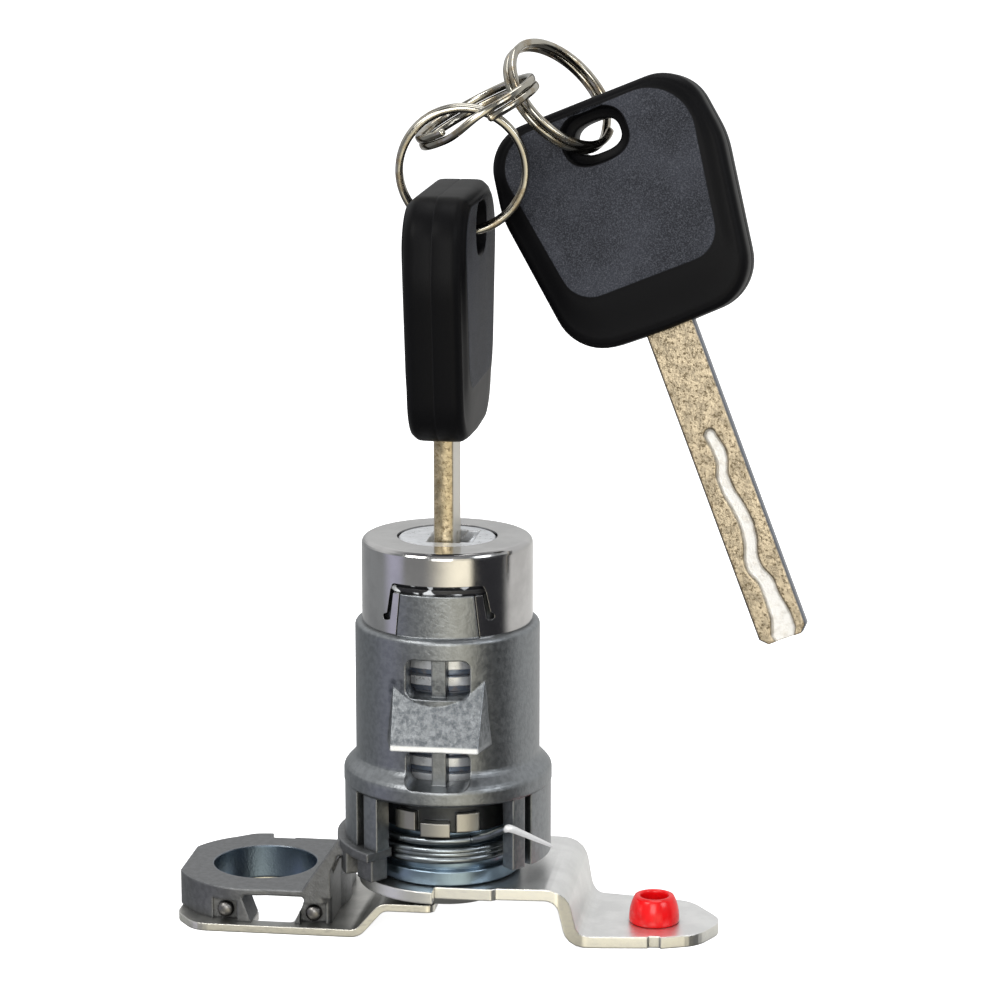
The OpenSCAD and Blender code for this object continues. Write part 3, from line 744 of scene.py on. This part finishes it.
@dataclass
class KeyHead:
    """A moulded key head: rounded rim, smooth band, grained raised face and an oval ring hole."""

    name: str
    node: str
    body: str
    origin: Point
    turn: np.ndarray
    half_width: float = 16.7
    height: float = 34.4
    thick: float = 9.2
    hole: tuple[float, float] = (0.0, 29.0)
    scale: float = 1.0
    face: tuple[Point, ...] = ((-10.8, 7.6, 4.6), (11.2, 7.6, 4.6), (15.2, 33.0, 6.8), (-15.2, 33.0, 5.6))

    def outline(self, inset: float, low: float, top_inset: float) -> list[Point]:
        """Corners of the head's outline, drawn in by inset at the sides, low and top_inset at the ends."""
        w, top, k = self.half_width - inset, self.height - top_inset, 1 - inset / 14
        return [(-w + 3.1, low, 7.2 * k), (0, low - 0.5, 40), (w - 3.1, low, 7.2 * k), (w + 0.2, 23.0, 14),
                (w - 1.5, top, 6.6 * k), (-w + 1.5, top, 6.6 * k), (-w - 0.2, 23.0, 14)]

    def rows(self) -> tuple[np.ndarray, np.ndarray, np.ndarray]:
        """The surface from the rim's seam to the hole.

        The rim is nearly flat, with a fine seam groove at the mid-plane and a crisp bevel. The band rises
        along an eased curve to the face, whose border falls a little. The face runs level to the hole's
        lip, and the recess and hole walls close it.

        Returns:
            Distances from the hole's middle, heights above the mid-plane, and 1 where a row is grained.
        """
        angles = np.linspace(0, 2 * np.pi, 240, endpoint=False)
        half = self.thick / 2
        outer = reach(rounded_outline(self.outline(0, 0.5, 0)), self.hole, angles)
        band = reach(rounded_outline(self.outline(0.9, 1.2, 0.8)), self.hole, angles)
        face = reach(rounded_outline(list(self.face)), self.hole, angles)
        across, up = np.cos(angles), np.sin(angles)
        lip = self.oval(4.8, 3.8, across, up)
        through = self.oval(3.4, 2.3, across, up)
        rim = ((0.12, 0.0), (0.03, 0.025), (0.0, 0.05), (0.0, 0.3), (0.02, 0.52), (0.08, 0.63), (0.22, 0.7),
               (0.55, 0.78), (1.0, 0.87))
        rows = [outer + (band - outer) * share for share, _ in rim]
        heights = [half * rise for _, rise in rim]
        for t in np.linspace(0.12, 1, 9):
            rows.append(band + (face - band) * t)
            heights.append(half * (0.87 + 0.115 * float(smooth(np.array(t)))))
        grained = [0.0] * len(rows)
        rows.append(face - 0.35)
        heights.append(half)
        for t in np.linspace(0.1, 1, 8):
            rows.append((face - 0.35) * (1 - t) + (lip + 0.3) * t)
            heights.append(half)
        grained += [1.0] * 9
        for inset, drop in ((0.1, 0.04), (0.0, 0.2), (-0.1, 1.9), (-0.35, 2.3)):
            rows.append(lip + inset)
            heights.append(half - drop)
        for inset, drop in ((0.35, 2.4), (0.1, 2.45), (0.0, 2.7), (0.0, half)):
            rows.append(through + inset)
            heights.append(half - drop)
        grained += [0.0] * 8
        return np.array(rows), np.array(heights), np.array(grained)

    @staticmethod
    def oval(wide: float, tall: float, across: np.ndarray, up: np.ndarray) -> np.ndarray:
        """Reach of a superellipse of power 2.6 with the given half sizes in each direction."""
        return (np.abs(across / wide) ** 2.6 + np.abs(up / tall) ** 2.6) ** (-1 / 2.6)

    def build(self, wardrobe: "Wardrobe") -> bpy.types.Object:
        """Makes the closed surface, both sides mirrored about the mid-plane.

        Args:
            wardrobe: gives the finish.

        Returns:
            The head, riding on its body.
        """
        rows, heights, grained = self.rows()
        angles = np.linspace(0, 2 * np.pi, rows.shape[1], endpoint=False)
        y = self.hole[0] + self.scale * rows * np.cos(angles)
        z = self.hole[1] + self.scale * rows * np.sin(angles)
        x = np.broadcast_to(heights[:, None], rows.shape)
        front = np.stack([x, y, z], -1)
        rear = np.stack([-x, y, z], -1)[::-1][1:-1]
        grid = np.concatenate([front, rear]) @ self.turn.T + np.array(self.origin)
        piece = grid_piece(self.name, grid, round_u=True, round_v=True)
        marks = np.repeat(np.concatenate([grained, grained[::-1][1:-1]]), rows.shape[1])
        piece.data.attributes.new("grained", "FLOAT", "POINT").data.foreach_set("value", marks)
        wardrobe.dress(piece, Finish.BLACK)
        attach(piece, self.body)
        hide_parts(self.node)
        return piece


@dataclass
class KeyBlade:
    """A flat blade with a winding groove milled into each face.

    Each groove point gives the distance below the head, the offset from the middle and the half width.
    """

    name: str
    node: str
    body: str
    origin: Point
    turn: np.ndarray
    finish: Finish
    width: float = 6.9
    thick: float = 2.8
    length: float = 45.2
    depth: float = 0.75
    wall: float = 0.4
    groove: tuple[Point, ...] = (
        (15.1, 0.05, 0.85), (17.5, 0.5, 1.0), (19.2, 0.4, 0.9), (20.9, -0.35, 0.9), (23.2, -0.3, 0.95),
        (26.0, 0.3, 1.05), (28.4, 0.55, 1.05), (30.8, 0.25, 1.05), (33.0, -0.55, 1.1), (34.7, -0.6, 1.2),
        (36.8, 0.35, 1.2), (39.0, 0.35, 1.2), (42.0, 0.6, 1.6), (44.5, 0.1, 2.1), (47.0, 0.0, 2.3))

    def carve(self, across: np.ndarray, below: np.ndarray) -> np.ndarray:
        """Share of the groove's depth: 1 on its floor, eased to 0 over its wall, with a round start."""
        s, middle, half = np.array(self.groove).T
        fine = np.linspace(s[0], s[-1], 200)
        kernel = np.hanning(13) / np.hanning(13).sum()
        soft = [np.convolve(np.pad(np.interp(fine, s, v), 6, "edge"), kernel, "valid") for v in (middle, half)]
        centre, reach_out = (np.interp(below, fine, v) for v in soft)
        away = np.hypot(across - centre, np.maximum(0.0, s[0] - below)) - 0.85 * reach_out
        return 1.0 - smooth(away / self.wall + 0.5)

    def build(self, wardrobe: "Wardrobe") -> bpy.types.Object:
        """Makes the blade: a thin rectangular section carried down to a chamfered tip.

        Args:
            wardrobe: gives the finish.

        Returns:
            The blade, riding on its body.
        """
        half, deep, bevel = self.width / 2, self.thick / 2, 0.18
        face = np.linspace(-half + bevel, half - bevel, 50)
        side = np.array([deep - bevel, 0.0, bevel - deep])
        y = np.concatenate([face, np.full(3, half), face[::-1], np.full(3, -half)])
        x = np.concatenate([np.full(50, deep), side, np.full(50, -deep), side[::-1]])
        below = np.linspace(-6.0, self.length, 340)[:, None]
        cut = np.where(np.abs(x) == deep, self.carve(np.broadcast_to(y, (340, y.size)), below), 0.0)
        narrow = (half - np.maximum(0.0, below - self.length + 1.0)) / half
        local = np.stack([x - np.sign(x) * self.depth * cut, y * narrow, np.broadcast_to(-below, cut.shape)], -1)
        grid = local @ self.turn.T + np.array(self.origin)
        piece = grid_piece(self.name, grid, caps=True)
        sides = np.broadcast_to((np.abs(y) == half).astype(float), cut.shape)
        for mark, values in (("milled", cut), ("flank", sides)):
            piece.data.attributes.new(mark, "FLOAT", "POINT").data.foreach_set("value", values.ravel())
        wardrobe.dress(piece, self.finish)
        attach(piece, self.body)
        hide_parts(self.node)
        return piece


@dataclass
class RodBush:
    """The red bush: a collar whose side falls away towards its top, and a neck through the lever."""

    centre: tuple[float, float] = (29.7, 1.0)
    base: float = -44.0
    hole: float = 2.0
    rim: float = 2.75
    foot: float = 3.62
    height: float = 3.9

    def build(self, wardrobe: "Wardrobe") -> bpy.types.Object:
        """Makes the bush: the side's radius falls from foot to rim by the height's share to the power 2.6.

        Args:
            wardrobe: gives the finish.

        Returns:
            The bush, riding on the plug's body.
        """
        share = np.linspace(0.1, 0.97, 16)
        side = np.stack([self.foot - (self.foot - self.rim) * share ** 2.6, self.height * share], -1)
        lip = np.radians(np.linspace(20, 160, 7))
        mid, half = (self.rim + self.hole) / 2, (self.rim - self.hole) / 2
        top = np.stack([mid + half * np.cos(lip), self.height - 0.2 + 0.2 * np.sin(lip)], -1)
        neck = [[self.hole, 3.4], [self.hole, -1.6], [self.hole + 0.6, -1.6], [self.hole + 0.6, 0.0],
                [self.foot - 0.15, 0.0], [self.foot - 0.04, 0.12]]
        profile = np.concatenate([side, top, neck])
        a = np.linspace(0, 2 * np.pi, 72, endpoint=False)
        grid = np.stack([self.centre[0] + profile[:, :1] * np.cos(a), self.centre[1] + profile[:, :1] * np.sin(a),
                         self.base + profile[:, 1:] + 0 * a], -1)
        piece = grid_piece("red_rod_bush", grid[::-1], round_v=True)
        wardrobe.dress(piece, Finish.RED)
        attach(piece, "plug")
        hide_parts("rod_bush")
        return piece


@dataclass
class KeyRing:
    """The two keys and the three linked rings."""

    rings: tuple[SplitRing, ...] = (
        SplitRing("split_ring_near", "split_ring_a", "ring_a", (2.24, 0.1, 63.61), 96.7, -82, 5),
        SplitRing("split_ring_far", "split_ring_b", "ring_b", (14.58, 8.74, 73.09), 50.8, -30.4, 85),
        SplitRing("split_ring_link", "split_ring_c", "ring_c", (4.21, 0.66, 71.59), 152, 11.9, 310),
    )
    key_z: float = 26.8
    hole_z: float = 29.0

    def build(self, wardrobe: "Wardrobe") -> list[bpy.types.Object]:
        """Makes the rings, both heads and both blades.

        Args:
            wardrobe: gives the finishes.

        Returns:
            The pieces.
        """
        turn = np.array(spare_turn())
        spare_origin = np.array(SPARE_HOLE) - turn @ np.array([0, 0, self.hole_z])
        heads = (KeyHead("lock_key_head", "key_head", "key", (0.45, 0, self.key_z), np.eye(3), thick=8.9),
                 KeyHead("spare_key_head", "spare_head", "spare_key", tuple(spare_origin), turn, scale=0.98))
        blades = (KeyBlade("lock_key_blade", "key_blade", "key", (0, 0, self.key_z), np.eye(3), Finish.KEY_METAL),
                  KeyBlade("spare_key_blade", "spare_blade", "spare_key", tuple(spare_origin), turn,
                           Finish.SPARE_METAL))
        return [part.build(wardrobe) for part in (*self.rings, *heads, *blades)]


@dataclass
class SpringArm:
    """The return spring: turns in two pairs and an arm that the housing's right leg holds.
    """

    radius: float = 10.2
    wire: float = 1.1
    turns: float = 3.75
    start: float = -62.0
    top: float = -29.7
    low: float = -33.75
    held: float = -31.0
    arm: tuple[Point, ...] = ((16.0, -7.0, -30.9), (10.5, -12.4, -26.65), (9.1, -11.5, -27.5),
                              (7.5, -10.3, -28.6), (6.0, -9.4, -29.3))

    def build(self, wardrobe: "Wardrobe") -> bpy.types.Object:
        """Makes the spring: a helix whose pitch opens between its two pairs of turns.

        Args:
            wardrobe: gives the finish.

        Returns:
            The spring, its place baked into its mesh.
        """
        f = np.linspace(0, 1, 420)
        a = np.radians(self.start - 360 * self.turns * f)
        height = self.top + (self.low - self.top) * f - 0.42 * np.sin(2 * np.pi * f)
        helix = np.stack([self.radius * np.cos(a), self.radius * np.sin(a), height], -1)
        corners = np.array([*self.arm, helix[0]])
        # Bends of the arm are rounded by carrying a short running mean along the straight stretches
        long = np.concatenate([np.linspace(p, q, 24, endpoint=False) for p, q in zip(corners, corners[1:])])
        kernel = np.ones(9) / 9
        padded = np.concatenate([np.repeat(long[:1], 4, 0), long, helix[:4]])
        bent = np.stack([np.convolve(padded[:, k], kernel, "valid") for k in range(3)], -1)
        piece = tube("return_spring_wire", np.concatenate([bent, helix]), self.wire / 2, self.wire / 2, 2.0,
                     tip=0.45)
        wardrobe.dress(piece, Finish.SPRING)
        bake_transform(piece)
        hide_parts("return_spring")
        return piece


# Studio


@dataclass
class Studio:
    """Camera, floor, lamps and surroundings.

    The camera is placed from the photograph: turned about the lock axis, raised, and far enough that the
    lock's axis stands at its pixel column.
    """

    turn: float = 8.0
    rise: float = 12.3
    distance: float = 480.0
    focal_px: float = 3360.0
    picture_px: float = 990.0
    aim_z: float = -18.9
    aim_px: tuple[float, float] = (448.0, 746.0)
    floor_z: float = -45.7

    def axes(self) -> tuple[np.ndarray, np.ndarray, np.ndarray]:
        """The camera's right, up and backward directions."""
        a, e = math.radians(self.turn), math.radians(self.rise)
        right = np.array([math.cos(a), math.sin(a), 0.0])
        back = np.array([math.sin(a) * math.cos(e), -math.cos(a) * math.cos(e), math.sin(e)])
        return right, np.cross(back, right), back

    def camera(self) -> None:
        """Places the camera so that the aim point falls on its pixel."""
        right, up, back = self.axes()
        half = self.picture_px / 2
        across = (self.aim_px[0] - half) / self.focal_px
        rise = (half - self.aim_px[1]) / self.focal_px
        spot = np.array([0, 0, self.aim_z]) + self.distance * (back - right * across - up * rise)
        data = bpy.data.cameras.new("camera")
        data.sensor_width = 36.0
        data.lens = 36.0 * self.focal_px / self.picture_px
        data.clip_start, data.clip_end = 0.01, 20.0
        seen = bpy.data.objects.new("camera", data)
        turn = Matrix((right, up, back)).transposed().to_4x4()
        seen.matrix_world = Matrix.Translation(spot * MM) @ turn
        bpy.context.collection.objects.link(seen)
        bpy.context.scene.camera = seen

    def lamp(self, name: str, spot: Point, size: float, power: float, colour: Colour = (1.0, 1.0, 1.0)) -> None:
        """Adds one soft lamp aimed at the lock.

        Args:
            name: the lamp's name.
            spot: where it hangs, in metres.
            size: side of its square in metres.
            power: watts.
            colour: its colour.
        """
        data = bpy.data.lights.new(name, "AREA")
        data.shape, data.size, data.energy, data.color = "SQUARE", size, power, colour
        made = bpy.data.objects.new(name, data)
        made.location = spot
        made.rotation_euler = (Vector((0.01, 0, 0.01)) - Vector(spot)).to_track_quat("-Z", "Y").to_euler()
        bpy.context.collection.objects.link(made)

    def floor(self) -> None:
        """A pale floor: white to the camera, and clear to polished metal, which mirrors the surroundings."""
        x, y0, y1, z = 2.0, -0.16, 3.0, self.floor_z * MM - 0.00005
        mesh = bpy.data.meshes.new("floor")
        mesh.from_pydata([(-x, y0, z), (x, y0, z), (x, y1, z), (-x, y1, z)], [], [(0, 1, 2, 3)])
        made = bpy.data.objects.new("floor", mesh)
        bpy.context.collection.objects.link(made)
        stuff = bpy.data.materials.new("floor_paper")
        stuff.use_nodes = True
        g = Graph(stuff.node_tree)
        paper = g.node("ShaderNodeBsdfDiffuse", values={"Color": (0.8, 0.8, 0.8, 1.0)})
        white = g.node("ShaderNodeEmission", values={"Color": (1.0, 1.0, 1.0, 1.0), "Strength": 0.86})
        lit = g.node("ShaderNodeAddShader", values={0: paper, 1: white})
        clear = g.node("ShaderNodeBsdfTransparent")
        glossy = g.node("ShaderNodeLightPath", out="Is Glossy Ray")
        camera = g.node("ShaderNodeLightPath", out="Is Camera Ray")
        both = g.node("ShaderNodeMixShader", values={0: glossy, 1: paper, 2: clear})
        both = g.node("ShaderNodeMixShader", values={0: camera, 1: both, 2: lit})
        g.node("ShaderNodeOutputMaterial", values={"Surface": both})
        mesh.materials.append(stuff)

    def world(self) -> None:
        """Surroundings: white to the camera, and a studio of pale and dark fields to polished metal.

        The fields stand by the direction's part to the camera's right, its part towards the camera and its
        rise. An upright wall mirrors the front low down, and a level face mirrors the back.
        """
        world = bpy.data.worlds.new("studio")
        world.use_nodes = True
        bpy.context.scene.world = world
        g = Graph(world.node_tree)
        way = g.node("ShaderNodeTexCoord", out="Generated")
        turned_way = g.node("ShaderNodeMapping", values={"Vector": way, "Rotation": (0, 0, math.radians(-self.turn))})
        side, deep, rise = g.parts(turned_way)
        near = (0.0 - deep).ease(-0.12, 0.2)
        front = g.blend(side.ease(-0.55, 0.3), (0.36, 0.36, 0.36), (1.75, 1.62, 1.3))
        front = g.blend(side.ease(0.45, 0.6), front, (0.04, 0.04, 0.045))
        front = g.blend((0.0 - side).ease(0.8, 0.92), front, (0.62, 0.61, 0.75))
        above = g.blend(side.size().ease(0.15, 0.4), (0.5, 0.5, 0.49), (0.3, 0.31, 0.32))
        front = g.blend(rise.ease(0.0, 0.2), front, above)
        back = g.blend(side.ease(-0.9, 0.9), (0.34, 0.35, 0.36), (0.8, 0.8, 0.78))
        back = g.blend(rise.ease(0.05, 0.45), back, (0.85, 0.85, 0.85))
        back = g.blend(side.ease(0.05, 0.2) * (1.0 - rise.ease(-0.15, 0.0)), back, (0.85, 0.84, 0.82))
        seen = g.blend(near, back, front)
        seen = g.blend(rise.ease(0.7, 0.9), seen, (0.2, 0.2, 0.21))
        seen = g.blend((0.0 - rise).ease(0.4, 0.6), seen, (0.12, 0.12, 0.12))
        path = (g.node("ShaderNodeLightPath", out=name) for name in ("Is Glossy Ray", "Is Camera Ray"))
        colour = g.blend(next(path), (0.5, 0.51, 0.52), seen)
        colour = g.blend(next(path), colour, (1.0, 1.0, 1.0))
        sky = g.node("ShaderNodeBackground", values={"Color": colour, "Strength": 1.0})
        g.node("ShaderNodeOutputWorld", values={"Surface": sky})

    def build(self) -> None:
        """Sets up the whole studio."""
        self.camera()
        self.floor()
        self.world()
        self.lamp("key_lamp", (-0.45, -0.55, 0.6), 0.35, 3.6, (1.0, 0.98, 0.95))
        self.lamp("fill_lamp", (0.6, -0.35, 0.35), 0.3, 1.4, (0.95, 0.97, 1.0))
        self.lamp("front_lamp", (0.02, -0.6, 0.16), 0.28, 1.3, (1.0, 0.99, 0.97))
        self.lamp("top_lamp", (0.05, 0.15, 0.7), 0.4, 1.7)
        bpy.context.scene.view_settings.view_transform = "Standard"


def main() -> None:
    """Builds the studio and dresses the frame."""
    logging.basicConfig(level=logging.INFO, format="%(message)s")
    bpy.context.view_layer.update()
    Studio().build()
    wardrobe = Wardrobe()
    wardrobe.dress_nodes()
    pieces = [*KeyRing().build(wardrobe), SpringArm().build(wardrobe), RodBush().build(wardrobe)]
    for piece in pieces:
        LOG.info("piece %s has %d faces", piece.name, len(piece.data.polygons))


if __name__ == "__main__":
    main()
